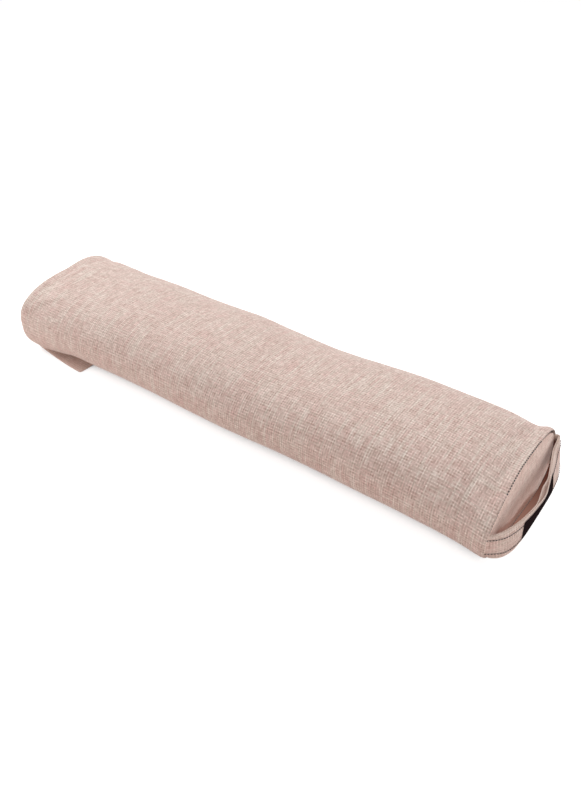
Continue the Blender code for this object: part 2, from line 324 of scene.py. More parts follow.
# Soft lamps: name, place, width and height, and power in watts
LAMPS = (
    ("lamp_near", (1.9, -0.3, 0.9), (1.4, 1.4), 10.0),
    ("lamp_far_low", (-1.5, -1.3, 0.35), (1.0, 0.5), 8.5),
    ("lamp_far_top", (-1.6, -0.2, 1.3), (1.2, 1.2), 19.0),
    ("lamp_rear_top", (-0.05, 1.3, 1.6), (1.6, 1.2), 24.0),
)

# The near end panel's lower part is in the strap's shade. Its upper limit comes down
# towards the rear along a power curve, from a top at the front to a level at its end,
# with a swell on the way, and it starts and fades over short ways
STRAP_SHADE_TOP = 0.046
STRAP_SHADE_RISE = 1.15
STRAP_SHADE_POWER = 1.5
STRAP_SHADE_END = 0.055
STRAP_SHADE_LEVEL = -0.001
STRAP_SHADE_SWELL = 0.014
STRAP_SHADE_MIDDLE = 0.030
STRAP_SHADE_REACH = 0.055
STRAP_SHADE_START = 0.006
STRAP_SHADE_START_FADE = 0.010
STRAP_SHADE_FADE = 0.005
PANEL_SHADE_TONE = (0.44, 0.215, 0.155)

# The strap's inner layer is in shade towards its rear end, up to near its upper edge
INNER_SHADE_START = 0.030
INNER_SHADE_FADE = 0.030
INNER_SHADE_TOP = 0.95
STRAP_SHADE_TONE = (0.20, 0.095, 0.07)

# The strap's mesh columns and measuring steps, the overlap of its halves, the gap
# between its layers, the step that keeps the halves' faces apart, and its rows of stitches
# as shares of its height with their rise at the ends and how far they stand off it in
# front and behind
BAND_STEP = radians(2.2)
MEASURE_STEP = radians(2.0)
OVERLAP = radians(3.3)
LAYER_GAP = 0.0003
HALF_STEP = 0.00004
STITCH_ROWS = (0.18, 0.76)
ROW_RISE = 0.08
STITCH_RADIUS = 0.00055
STITCH_OUT = 0.0005
STITCH_BEHIND = 0.0007

# Small waves of its layers: how close they lie along and across, and their depth. The
# weave of the inner layer is that of another place on the cloth
STRAP_WAVES_ALONG = 55
STRAP_WAVES_ACROSS = 2.2
STRAP_WAVE = 0.0004
INNER_WEAVE_SHIFT = 0.2

# The shaded floor seen through the strap's gap: its depth from the end panel, where it
# is deepest across the end, how its outer edge curves in front of that, how much less
# behind it, and how soft that edge is
GAP_DEPTH = 0.0105
GAP_WIDEST = 0.045
GAP_FRONT_CURVE = 3.5
GAP_REAR_CURVE = -0.85
GAP_EDGE = 0.0012

# Its inner, front and rear ends, each with the length over which it fades. Behind the
# panel only a strip outside a slanting line is shaded
GAP_INNER = -0.020
GAP_INNER_FADE = 0.004
GAP_FRONT = -0.034
GAP_FRONT_FADE = 0.010
GAP_REAR = 0.122
GAP_REAR_FADE = 0.006
GAP_PANEL_END = 0.099
GAP_PANEL_FADE = 0.002
GAP_PAST_PANEL = 0.0045
GAP_PAST_PANEL_Y = 0.1035
GAP_PAST_PANEL_SLOPE = 0.38
GAP_PAST_PANEL_EDGE = 0.001

# The warm tones that the floor takes there from the cloth around it
GAP_FRONT_TONE = (0.275, 0.138, 0.103)
GAP_REAR_TONE = (0.085, 0.026, 0.018)
GAP_TONE_REAR = 0.105

# The floor's painted shade below the strap, a darker tone that throws back less light, and where it
# lies across and along the end
UNDER_STRAP_SHADE_TONE = (0.10, 0.035, 0.022)
UNDER_STRAP_HALF = 0.115
UNDER_STRAP_HALF_FADE = 0.030
UNDER_STRAP_INNER = 0.030
UNDER_STRAP_INNER_FADE = 0.010
UNDER_STRAP_OUTER = 0.034
UNDER_STRAP_OUTER_FADE = 0.016

# The floor as the camera sees it: the reach of the contact shadow and the share of
# open sky at which it ends, its own glow and its tone in the light. It lies just below
# the object
CONTACT_REACH = 0.022
CONTACT_END = 0.42
FLOOR_GLOW = 0.86
FLOOR_TONE = (0.42, 0.40, 0.39)
FLOOR_DROP = 0.0004

# The camera of the photograph, fitted to the object's outline: its place, the directions
# to its right and ahead, and its focal length in millimetres
CAMERA_PLACE = (0.4890, -0.6029, 0.5955)
CAMERA_RIGHT = (0.8088, 0.5881, 0.0)
CAMERA_AHEAD = (-0.46906, 0.64509, -0.60319)
CAMERA_LENS = 33.32

# The woven label: from one pick to the next, how far it lies off the strap, and its cloth
LABEL_PICK = 0.00035
LABEL_OFF = 0.0006
LABEL_CLOTH = 0.0006

# The closing flap: its half width when flat, its half width at the fold and how much
# wider it gets towards its free edge, its mean width, the share of its room that is
# cloth, and how far it lies off the floor
FLAP_FLAT_HALF = 0.088
FLAP_FOLD_HALF = 0.076
FLAP_WIDENING = 0.0127
FLAP_WIDENING_POWER = 1.6
FLAP_CLOTH_SHARE = 0.33
FLAP_OFF_FLOOR = 0.0001

# Its fold: where it lies inside the flap's end and over the floor, its slack in the
# room, the points of the sewn part before it, and its steps round
FOLD_IN = 0.0015
FOLD_HEIGHT = 0.0015
FOLD_SLACK = 0.0003
FOLD_SEWN = (0.006, 0.003)
FOLD_STEPS = 8


class Socket:
    """An output that Python's operators turn into Math nodes."""

    def __init__(self, finish, output):
        self.finish = finish
        self.output = output

    def maths(self, operation, *values):
        return self.finish.node("ShaderNodeMath", {"operation": operation}, dict(enumerate(values)))

    def __add__(self, other):
        return self.maths("ADD", self, other)

    __radd__ = __add__

    def __sub__(self, other):
        return self.maths("SUBTRACT", self, other)

    def __rsub__(self, other):
        return self.maths("SUBTRACT", other, self)

    def __mul__(self, other):
        return self.maths("MULTIPLY", self, other)

    __rmul__ = __mul__

    def __truediv__(self, other):
        return self.maths("DIVIDE", self, other)

    def __rtruediv__(self, other):
        return self.maths("DIVIDE", other, self)

    def __mod__(self, other):
        return self.maths("FLOORED_MODULO", self, other)

    def floor(self):
        return self.maths("FLOOR", self)

    def larger(self, other):
        return self.maths("MAXIMUM", self, other)

    def smaller(self, other):
        return self.maths("MINIMUM", self, other)

    def sibling(self, name):
        """Another output of the same node."""
        return Socket(self.finish, self.output.node.outputs[name])

    def between(self, low, high):
        """0 below low, 1 above high, smooth in between."""
        settings = {"interpolation_type": "SMOOTHSTEP"}
        return self.finish.node("ShaderNodeMapRange", settings,
                                {"Value": self, "From Min": low, "From Max": high})


class Finish:
    """One material and its nodes."""

    def __init__(self, name, roughness, **constants):
        self.material = bpy.data.materials.new(name)
        self.material.use_nodes = True
        self.nodes = self.material.node_tree.nodes
        self.links = self.material.node_tree.links
        self.shader = self.nodes["Principled BSDF"]
        self.shader.inputs["Roughness"].default_value = roughness
        for socket, value in constants.items():
            self.shader.inputs[socket.replace("_", " ")].default_value = value

    def node(self, kind, settings, values, output=0):
        """A node with its settings made first, then its sockets fed."""
        node = self.nodes.new(kind)
        for name, value in settings.items():
            setattr(node, name, value)
        for name, value in values.items():
            self.feed(node.inputs[name], value)
        return Socket(self, node.outputs[output])

    def feed(self, socket, value):
        if isinstance(value, Socket):
            self.links.new(value.output, socket)
        elif hasattr(socket.default_value, "__len__") and len(socket.default_value) == 4:
            socket.default_value = (*value[:3], 1.0)
        else:
            socket.default_value = value

    def vector(self, x, y, z=0.0):
        return self.node("ShaderNodeCombineXYZ", {}, {"X": x, "Y": y, "Z": z})

    def noise(self, x, y, detail=1.0):
        """Plain noise over two coordinates, 0 to 1."""
        return self.node("ShaderNodeTexNoise", {"noise_dimensions": "2D"},
                         {"Vector": self.vector(x, y), "Scale": 1.0, "Detail": detail,
                          "Roughness": 0.5})

    def mix(self, share, first, second):
        """A colour between two colours."""
        node = self.nodes.new("ShaderNodeMix")
        node.data_type = "RGBA"
        self.feed(node.inputs[0], share)
        self.feed(node.inputs[6], first)
        self.feed(node.inputs[7], second)
        return Socket(self, node.outputs[2])

    def shaded(self, colour, change):
        """A colour made lighter or darker, the darker the warmer."""
        factors = self.vector(1.0 + change * 0.82, 1.0 + change, 1.0 + change * 1.12)
        return self.node("ShaderNodeVectorMath", {"operation": "MULTIPLY"}, {0: colour, 1: factors})

    def along_cloth(self):
        """The two coordinates on the cloth, in metres along and across its threads."""
        return self.parted(self.node("ShaderNodeUVMap", {"uv_map": WEAVE}, {}))

    def parted(self, spot):
        """The first two coordinates of a point."""
        x = self.node("ShaderNodeSeparateXYZ", {}, {"Vector": spot})
        return x, x.sibling("Y")

    def object_place(self):
        return self.node("ShaderNodeTexCoord", {}, {}, output=3)

    def attribute(self, name):
        return self.node("ShaderNodeAttribute", {"attribute_name": name}, {}, output=2)

    def wear(self, colour, height=None, depth=0.0002, strength=0.6):
        """Give the shader its colour and its relief."""
        self.feed(self.shader.inputs["Base Color"], colour)
        if height is not None:
            relief = self.node("ShaderNodeBump", {}, {"Height": height, "Distance": depth,
                                                      "Strength": strength})
            self.links.new(relief.output, self.shader.inputs["Normal"])
        return self.material


# The linen's patterns, in changes per metre along and across the cloth: the drift of its
# threads, their change of tone, its large and small patches, and its groups of threads
# and cream slubs in both directions
DRIFT = (120.0, 120.0)
DRIFT_SHARE = 0.3
TONE_CHANGE = 90.0
BLOTCHES = (70.0, 36.0)
PATCHES = (22.0, 15.0)
WEFT_GROUPS = (240.0, 34.0)
WARP_GROUPS = (34.0, 240.0)
WEFT_SLUBS = (330.0, 15.0)
WARP_SLUBS = (22.0, 330.0)
WEFT_SLUB_SHARE = 0.62
WARP_SLUB_SHARE = 0.44
HUE_MIDDLE = 0.655
HUE_SPREAD = 0.50
# Colour of the painted highlight on the strap's folded edges, where they catch the light
FOLDED_EDGE_HIGHLIGHT = (0.80, 0.68, 0.60)


def linen(name, look, calm=1.0, lift=1.0, edge_highlight_strength=0.0, shade_colour=None):
    """Plain weave of slubby threads: its patches run from cream to dusty pink, and each
    thread is lighter or darker along its length. A larger calm makes it more even. Lift
    makes the cloth lighter, painted light on a piece of the cover's own cloth; the folded
    edges take a painted highlight and the shade colour paints shade, both after the
    piece's attributes."""
    cloth = Finish(name, 0.92, Sheen_Weight=0.25, Sheen_Roughness=0.5)
    along, across = cloth.along_cloth()

    def pattern(scales, detail):
        return cloth.noise(along * scales[0], across * scales[1], detail)

    drift = pattern(DRIFT, 2.0) - 0.5
    weft = along / look.pitch + drift * DRIFT_SHARE
    warp = across / (look.pitch * look.warp_share) - drift * DRIFT_SHARE
    weft_index = weft.floor()
    warp_index = warp.floor()
    weft_side = (weft - weft_index) * 2.0 - 1.0
    warp_side = (warp - warp_index) * 2.0 - 1.0
    weft_round = 1.0 - weft_side * weft_side
    warp_round = 1.0 - warp_side * warp_side
    over = (weft_index + warp_index) % 2.0

    weft_step = (weft_index % 2.0) * 2.0 - 1.0
    warp_step = (warp_index % 2.0) * 2.0 - 1.0
    weft_tone = cloth.noise(weft_index * 3.71, across * TONE_CHANGE, 2.0)
    weft_tone = weft_tone.between(0.30, 0.70) * weft_step
    warp_tone = cloth.noise(along * TONE_CHANGE, warp_index * 4.13, 2.0)
    warp_tone = warp_tone.between(0.30, 0.70) * warp_step
    fleck = cloth.node("ShaderNodeTexWhiteNoise", {"noise_dimensions": "2D"},
                       {"Vector": cloth.vector(weft_index, warp_index)})

    hue = (pattern(BLOTCHES, 3.0) * 0.40 + pattern(PATCHES, 1.0) * 0.14
           + pattern(WEFT_GROUPS, 2.0) * 0.36 + pattern(WARP_GROUPS, 2.0) * 0.30)
    light = hue.between(HUE_MIDDLE - HUE_SPREAD * calm, HUE_MIDDLE + HUE_SPREAD * calm)
    weft_slub = pattern(WEFT_SLUBS, 1.0).between(0.54, 0.68) * WEFT_SLUB_SHARE
    warp_slub = pattern(WARP_SLUBS, 1.0).between(0.58, 0.70) * WARP_SLUB_SHARE
    light = light + (1.0 - light) * weft_slub.larger(warp_slub) * (1.0 / calm ** 2)
    # Lift lightens both colours: painted light on a piece of the cover's own cloth
    colour = cloth.mix(light, [channel * lift for channel in look.pink],
                       [channel * lift for channel in look.cream])
    threads = (weft_tone + warp_tone) * look.thread_contrast
    shade = (threads + (fleck - 0.5) * look.fleck_contrast) * (1.0 / calm)
    if shade_colour:
        depth = cloth.attribute(SHADE)
        colour = cloth.mix(depth, colour, shade_colour)
    # The folded edges take a painted highlight
    if edge_highlight_strength:
        edge = cloth.attribute(EDGE_HIGHLIGHT_LAYER) * edge_highlight_strength
        colour = cloth.mix(edge, colour, FOLDED_EDGE_HIGHLIGHT)
        shade = shade * (1.0 - edge)

    height = (weft_round * (0.55 + warp_round * 0.45) * over
              + warp_round * (0.55 + weft_round * 0.45) * (1.0 - over))
    gap = 1.0 - height.between(0.0, 0.60)
    return cloth.wear(cloth.shaded(colour, shade - gap * 0.14), height + threads, 0.00022, 0.55)


def thread_finish(name, colour):
    """Twisted sewing thread."""
    thread = Finish(name, 0.6, Sheen_Weight=0.2)
    ply = thread.node("ShaderNodeTexNoise", {},
                      {"Vector": thread.object_place(), "Scale": 2500.0, "Detail": 1.0})
    light = tuple(min(1.0, channel * 2.6 + 0.01) for channel in colour)
    return thread.wear(thread.mix(ply, colour, light), ply, 0.00005, 0.4)


def satin(name, look):
    """Fine black woven label, bare, with its picks as low ribs."""
    label = Finish(name, 0.8, Specular_IOR_Level=0.0)
    along, across = label.along_cloth()
    pick = (across / LABEL_PICK) % 1.0 * 2.0 - 1.0
    rib = 1.0 - pick * pick
    fleck = label.noise(along * 900.0, across * 2600.0, 1.0)
    shade = (rib * 0.4 + fleck * 0.6).between(0.25, 0.9)
    lighter = tuple(channel * 1.6 + 0.002 for channel in look.label)
    return label.wear(label.mix(shade, look.label, lighter), rib + fleck * 0.3, 0.00008, 0.5)


def cotton(name, colour, shade):
    """Plain undyed cloth of the lining or the fluff of the filling."""
    cloth = Finish(name, 0.95, Sheen_Weight=0.2)
    along, across = cloth.along_cloth()
    weave = cloth.noise(along * 1500.0, across * 1500.0, 2.0)
    patch = cloth.noise(along * 40.0, across * 40.0, 2.0)
    return cloth.wear(cloth.mix((weave * 0.6 + patch * 0.4).between(0.3, 0.7), shade, colour),
                      weave, 0.00015, 0.4)


def tape(name, colour, shade, grain):
    """Hook or loop tape, with its rows of small hooks or its brushed pile."""
    strip = Finish(name, 0.7)
    pile = strip.node("ShaderNodeTexVoronoi", {}, {"Vector": strip.object_place(), "Scale": grain})
    return strip.wear(strip.mix(pile.between(0.1, 0.8), colour, shade), 1.0 - pile, 0.0003, 0.8)


def power(value, exponent):
    """Signed power, which turns a circle's coordinate into the squarer oval's."""
    return copysign(abs(value) ** exponent, value)


def bump(distance, reach):
    """1 at the middle of a swell and 0 at its reach, smooth."""
    share = min(abs(distance) / reach, 1.0)
    return (1 - share ** 2) ** 2


def clamped(value):
    """A value held between 0 and 1."""
    return min(max(value, 0.0), 1.0)


def end_rounding(x, end, length):
    """0 away from an end, 1 at its seam, along a quarter round."""
    into = max(0.0, 1 - abs(end - x) / length)
    return 1 - sqrt(1 - into ** 2)


class Body:
    """The filled cover's form: cross-sections along the bolster."""

    def __init__(self, sizes):
        self.sizes = sizes
        self.far = -sizes.length / 2
        self.near = sizes.length / 2
        self.flap_end = FLAP_HIGH.x
        self.turns = self.even_turns()

    def extents(self, x):
        """Half width, bottom and top of the round section at x."""
        near = end_rounding(x, self.near, NEAR_ROUND)
        far = end_rounding(x, self.far, FAR_ROUND)
        side = sum(row[2] * bump(x - row[0], row[1]) for row in SWELLS)
        rise = sum(row[3] * bump(x - row[0], row[1]) for row in SWELLS)
        half = self.sizes.width / 2 + side - NEAR_INSET * near - FAR_SIDE_INSET * far
        high = self.sizes.top + rise - NEAR_INSET * near
        low = NEAR_INSET * near + (FLAP_ROOM + FLOOR_SINK) * far - FLOOR_SINK
        return half, low, high

    def underside(self, x):
        """Height of the flat underside at x."""
        lift = (self.flap_end + RAMP_LENGTH - x) / RAMP_LENGTH
        return FLAP_ROOM * clamped(lift)

    def squareness(self, x, turn):
        """Squareness of the section's upper or lower half at x."""
        base = self.sizes.squareness
        if 0 <= turn <= pi:
            return base
        rear = 1.0 if -pi / 2 < turn < 0 else 0.0
        return (base + (FAR_LOW_SQUARENESS - base) * bump(x - self.far, FAR_SQUARE_REACH)
                + rear * (NEAR_LOW_SQUARENESS - base) * bump(self.near - x, NEAR_SQUARE_REACH))

    def lean(self, x, y, z):
        """How far a point near either end moves towards the far end."""
        high = z / self.sizes.top
        far_share = bump(max(x - self.far, 0.0), FAR_LEAN_REACH)
        near_share = bump(max(self.near - x, 0.0), NEAR_LEAN_REACH)
        rear = clamped((y - NEAR_LEAN_FRONT) / (NEAR_LEAN_REAR - NEAR_LEAN_FRONT))
        low_rear = clamped(y / NEAR_OUT_FULL) * max(1 - high, 0.0) ** 2
        return (FAR_LEAN * far_share * max(y, 0.0) / (self.sizes.width / 2) * high
                + NEAR_LEAN * near_share * rear * high - NEAR_LOW_OUT * near_share * low_rear)

    def point(self, x, turn, inset=0.0):
        """A point of the surface, drawn in by inset."""
        half, low, high = self.extents(x)
        reach = 2 / self.squareness(x, turn)
        along = bump(self.near - WELT_FROM_SEAM - x, WELT_REACH)
        welt = WELT * bump(turn - WELT_TURN, WELT_SPREAD) * along
        y = (half - inset + welt) * power(cos(turn), reach)
        z = (low + high) / 2 + ((high - low) / 2 - inset + welt) * power(sin(turn), reach)
        z = max(z, self.underside(x) + inset)
        return Vector((x - self.lean(x, y, z), y, z))

    def even_turns(self):
        """Angles of evenly spaced columns, from the middle of the underside round to it,
        with one column on each side of the mouth."""
        start = -pi / 2
        fine = [start + 2 * pi * step / STEPS_PER_SECTION for step in range(STEPS_PER_SECTION + 1)]
        spots = [self.point(0.0, turn) for turn in fine]
        travelled = running_lengths(spots)
        self.girth = travelled[-1]
        right = next(step for step, spot in enumerate(spots) if spot.y > MOUTH_HALF_WIDTH)
        stops = [0.0, travelled[right], self.girth - travelled[right], self.girth]
        wanted = []
        for low_stop, high_stop in zip(stops, stops[1:]):
            count = max(1, round((high_stop - low_stop) / self.girth * self.sizes.around))
            wanted += [low_stop + (high_stop - low_stop) * step / count for step in range(count)]
        wanted.append(self.girth)
        turns = []
        step = 0
        for distance in wanted:
            while step < STEPS_PER_SECTION - 1 and travelled[step + 1] < distance:
                step += 1
            span = max(travelled[step + 1] - travelled[step], 1e-9)
            share = (distance - travelled[step]) / span
            turns.append(fine[step] + (fine[step + 1] - fine[step]) * clamped(share))
        self.column_places = wanted
        return turns

    def held(self, spot):
        """1 where the cover is sewn, or rests on the floor or the flap, and 0 where it is free."""
        to_far = spot.x + self.lean(self.far, spot.y, spot.z) - self.far
        from_seam = min(self.near - spot.x, to_far)
        sewn = 1 - clamped((from_seam - HELD_SEAM[0]) / HELD_SEAM[1])
        rest = 1 - clamped((spot.z - FLAP_ROOM - HELD_REST[0]) / HELD_REST[1])
        mouth = self.far + MOUTH_START + MOUTH_LENGTH + HELD_PAST_MOUTH - spot.x
        round_mouth = 1.0 if mouth > 0 and spot.z < HELD_MOUTH_HEIGHT else 0.0
        return max(sewn, rest, round_mouth)

    def pucker(self, spot, distance):
        """Small uneven folds that die out away from a seam."""
        fade = max(0.0, 1 - distance / PUCKER_REACH) ** 2
        wave = noise.noise(Vector((spot.y * PUCKER_ACROSS, spot.z * PUCKER_ACROSS,
                                   spot.x * PUCKER_ALONG)))
        unevenness = (UNEVEN_SHARE * noise.noise(spot * UNEVEN_SCALE)
                      * min(distance / UNEVEN_FROM_SEAM, 1.0))
        return self.sizes.pucker * (fade * wave + unevenness)


def new_grid(columns, rows):
    """A flat grid of columns by rows faces over the unit square, at the origin."""
    builder = bmesh.new()
    bmesh.ops.create_grid(builder, x_segments=columns, y_segments=rows, size=0.5)
    bmesh.ops.translate(builder, vec=(0.5, 0.5, 0.0), verts=builder.verts)
    return builder


def lay_cloth(builder, columns, rows, place, cloth_place):
    """Give a flat grid its cloth coordinates, then carry each vertex to its place."""
    layer = builder.loops.layers.uv.new(WEAVE)
    for face in builder.faces:
        for loop in face.loops:
            column = round(loop.vert.co.x * columns)
            row = round(loop.vert.co.y * rows)
            loop[layer].uv = cloth_place(column, row)
    for vert in builder.verts:
        vert.co = place(round(vert.co.x * columns), round(vert.co.y * rows))


def finished(name, builder, material, body=None, slot=None):
    """Turn a bmesh into a smooth named object at the origin, riding on a body."""
    mesh = bpy.data.meshes.new(name)
    builder.to_mesh(mesh)
    builder.free()
    mesh.shade_smooth()
    mesh.materials.append(material)
    piece = bpy.data.objects.new(name, mesh)
    bpy.context.scene.collection.objects.link(piece)
    if body:
        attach(piece, body)
    return piece


def subdivide(piece, levels=1):
    modifier = piece.modifiers.new("smooth_cloth", "SUBSURF")
    modifier.levels = levels
    modifier.render_levels = levels
    return modifier


def thicken(piece, thickness, offset=-1.0):
    modifier = piece.modifiers.new("cloth_thickness", "SOLIDIFY")
    modifier.thickness = thickness
    modifier.offset = offset
    modifier.use_even_offset = True
    return modifier


def outward(builder, centre):
    """Turn an open surface so that its faces look away from a point."""
    bmesh.ops.recalc_face_normals(builder, faces=builder.faces)
    total = sum(face.normal.dot(face.calc_center_median() - centre) * face.calc_area()
                for face in builder.faces)
    if total < 0:
        bmesh.ops.reverse_faces(builder, faces=builder.faces)


def settle(piece, held, filled):
    """Fill the cloth: it starts a little smaller than its form, the filling presses it out,
    and each vertex comes to rest within a short way of that form."""
    scene = bpy.context.scene
    forms = [vertex.co.copy() for vertex in piece.data.vertices]
    weights = [held(spot) for spot in forms]
    group = piece.vertex_groups.new(name="sewn_or_resting")
    for index, vertex in enumerate(piece.data.vertices):
        group.add([index], weights[index], "REPLACE")
        vertex.co = vertex.co - vertex.normal * filled.start_inset * (1 - weights[index])
    modifier = piece.modifiers.new("filled", "CLOTH")
    cloth = modifier.settings
    cloth.vertex_group_mass = group.name
    cloth.quality = filled.quality
    cloth.mass = filled.cloth_mass
    cloth.shrink_min = -filled.ease
    cloth.use_pressure = True
    cloth.uniform_pressure_force = filled.pressure
    cloth.effector_weights.gravity = 0.0
    modifier.collision_settings.use_collision = False
    modifier.point_cache.frame_start = 1
    modifier.point_cache.frame_end = filled.frames
    for frame_number in range(1, filled.frames + 1):
        scene.frame_set(frame_number)
    evaluated = piece.evaluated_get(bpy.context.evaluated_depsgraph_get())
    settled = [vertex.co.copy() for vertex in evaluated.data.vertices]
    piece.modifiers.remove(modifier)
    piece.vertex_groups.remove(group)
    scene.frame_set(1)
    for vertex, form, spot in zip(piece.data.vertices, forms, settled):
        move = spot - form
        # A vertex that the simulation lost, far off or not a number, keeps its form
        if not move.length < filled.most_move * LOST_MOVES:
            move = Vector((0, 0, 0))
        reach = filled.most_move / max(move.length, 1e-9)
        vertex.co = form + move * min(reach, 1.0)


def running_lengths(spots):
    """Distance along a row of points at each of them."""
    lengths = [0.0]
    for before, after in zip(spots, spots[1:]):
        lengths.append(lengths[-1] + (after - before).length)
    return lengths


def tube_stations(body):
    """Places of the cover's cross-sections with their inset: the turned-in edge at each
    seam, the lip, and even steps between them."""
    places = [body.far + step for step in FAR_STEPS]
    mouth = body.far + MOUTH_START
    places += [mouth, mouth + MOUTH_EDGE]
    places += [mouth + MOUTH_LENGTH * share for share in MOUTH_SHARES]
    places += [mouth + MOUTH_LENGTH + MOUTH_EDGE, mouth + MOUTH_LENGTH + PAST_MOUTH]
    ramp = body.flap_end
    gap = ramp - BEFORE_RAMP - places[-1]
    places += [places[-1] + gap * step / 4 for step in range(1, 5)]
    places += [ramp + RAMP_LENGTH * share for share in RAMP_SHARES]
    start = ramp + EVEN_START
    span = body.near - EVEN_END - start
    count = ceil(span / EVEN_STEP)
    places += [start + span * step / count for step in range(count + 1)]
    places += [body.near - step for step in NEAR_STEPS]
    return ([(body.far + step, inset) for step, inset in FAR_TURN_IN]
            + [(x, 0.0) for x in places]
            + [(body.near - step, inset) for step, inset in NEAR_TURN_IN])


def build_tube(body, stations, inset=0.0, mouth=True):
    """The cover's tube as one open surface with its mouth cut out."""
    rows = len(stations) - 1
    columns = len(body.turns) - 1
    lengths = running_lengths([Vector((x, 0, draw)) for x, draw in stations])

    def place(column, row):
        x, draw = stations[row]
        spot = body.point(x, body.turns[column % columns], draw + inset)
        distance = min(body.near - x, x - body.far)
        lift = body.pucker(spot, distance) if spot.z > PUCKER_FLOOR else 0.0
        centre = Vector((x, 0, body.sizes.top / 2))
        return spot + (spot - centre).normalized() * lift

    builder = new_grid(columns, rows)
    lay_cloth(builder, columns, rows, place,
              lambda column, row: (lengths[row], body.column_places[column]))
    if mouth:
        low = body.far + MOUTH_START
        high = low + MOUTH_LENGTH
        inside = [face for face in builder.faces
                  if low < face.calc_center_median().x < high
                  and abs(face.calc_center_median().y) < MOUTH_HALF_WIDTH
                  and face.calc_center_median().z < body.sizes.top / 2]
        bmesh.ops.delete(builder, geom=inside, context="FACES")
    bmesh.ops.remove_doubles(builder, verts=builder.verts, dist=1e-6)
    outward(builder, Vector((0, 0, body.sizes.top / 2)))
    return builder


def disc_share(u, v):
    """A square's point carried to the unit disc, without a pole."""
    return u * sqrt(1 - v * v / 2), v * sqrt(1 - u * u / 2)


def build_panel(body, x, side, inset, rise, flange, count=30, pucker=True):
    """A crowned oval panel with its turned-in edge, as one open surface."""
    slack = body.sizes.near_crown_slack if side > 0 else 0.0
    low_share, flatness = NEAR_CROWN_FORM if side > 0 else FAR_CROWN_FORM
    half, low, high = body.extents(x)
    middle = (low + high) / 2
    tall = (high - low) / 2
    floor_line = body.underside(x) + inset

    def section(column, row):
        across, up = disc_share(2 * column / count - 1, 2 * row / count - 1)
        radius = min(hypot(across, up), 1.0)
        turn = atan2(up, across)
        reach = 2 / body.squareness(x, turn)
        y = (half - inset) * power(cos(turn), reach) * radius
        rim = (tall - inset) * power(sin(turn), reach)
        rim = max(rim, floor_line - middle)
        return radius, Vector((0, y, middle + rim * radius))

    def place(column, row):
        radius, spot = section(column, row)
        upper = 0.5 + 0.5 * (spot.z - middle) / tall
        crown = rise * (low_share + (1 - low_share) * upper)
        crown *= (1 - radius ** flatness) ** CROWN_POWER
        crown *= 1 - slack * clamped(CROWN_SLACK_START - spot.y / half)
        spot.x = x + side * crown - body.lean(x, spot.y, spot.z)
        if pucker:
            edge = (1 - radius) * half
            folds = body.pucker(Vector((spot.z, spot.y, x)), edge) * PANEL_FOLDS
            spot.x += side * folds * min(edge / PANEL_FOLDS_START, 1.0)
        return spot

    def cloth_place(column, row):
        _, spot = section(column, row)
        return (spot.z, spot.y + half)

    builder = new_grid(count, count)
    lay_cloth(builder, count, count, place, cloth_place)
    bmesh.ops.remove_doubles(builder, verts=builder.verts, dist=1e-6)
    rim_edges = [edge for edge in builder.edges if edge.is_boundary]
    for step, draw in (PANEL_TURN, (flange, FLANGE_DRAW)):
        made = bmesh.ops.extrude_edge_only(builder, edges=rim_edges)
        rim_edges = [item for item in made["geom"] if isinstance(item, bmesh.types.BMEdge)
                     and item.is_boundary]
        verts = [item for item in made["geom"] if isinstance(item, bmesh.types.BMVert)]
        for vert in verts:
            inward = Vector((0, -vert.co.y, middle - vert.co.z)).normalized()
            vert.co += inward * draw + Vector((-side * step, 0, 0))
    outward(builder, Vector((x - side * 0.05, 0, middle)))
    shade = builder.verts.layers.float.new(SHADE)
    for vert in builder.verts:
        vert[shade] = strap_shade(vert.co, half) if side > 0 else 0.0
    return builder


def strap_shade(spot, half):
    """How deep in the strap's shade a point of the near end panel lies, from 0 to 1."""
    before = max(STRAP_SHADE_END - spot.y, 0.0)
    limit = STRAP_SHADE_LEVEL + STRAP_SHADE_RISE * before ** STRAP_SHADE_POWER
    limit += STRAP_SHADE_SWELL * bump(spot.y - STRAP_SHADE_MIDDLE, STRAP_SHADE_REACH)
    limit = min(limit, STRAP_SHADE_TOP)
    inside = clamped((spot.y + half - STRAP_SHADE_START) / STRAP_SHADE_START_FADE)
    return clamped((limit - spot.z) / STRAP_SHADE_FADE) * inside


def add_stitches(builder, spots, normals, length, pitch, radius):
    """Short round stitches along a row of points, lying on the cloth."""
    lengths = running_lengths(spots)
    count = int((lengths[-1] - length) / pitch)
    row = 0
    for number in range(count + 1):
        middle = length / 2 + number * pitch
        while row < len(spots) - 2 and lengths[row + 1] < middle:
            row += 1
        share = (middle - lengths[row]) / max(lengths[row + 1] - lengths[row], 1e-9)
        spot = spots[row].lerp(spots[row + 1], share)
        along = (spots[row + 1] - spots[row]).normalized()
        normal = normals[row].lerp(normals[row + 1], share)
        normal = (normal - along * normal.dot(along)).normalized()
        side = normal.cross(along)
        turn = Matrix((along, side, normal)).transposed().to_4x4()
        size = Matrix.Diagonal((length / 2, radius, radius * STITCH_HEIGHT, 1.0))
        upright = Matrix.Rotation(pi / 2, 4, "Y")
        bmesh.ops.create_uvsphere(builder, u_segments=6, v_segments=5, radius=1.0,
                                  matrix=Matrix.Translation(spot) @ turn @ size @ upright)


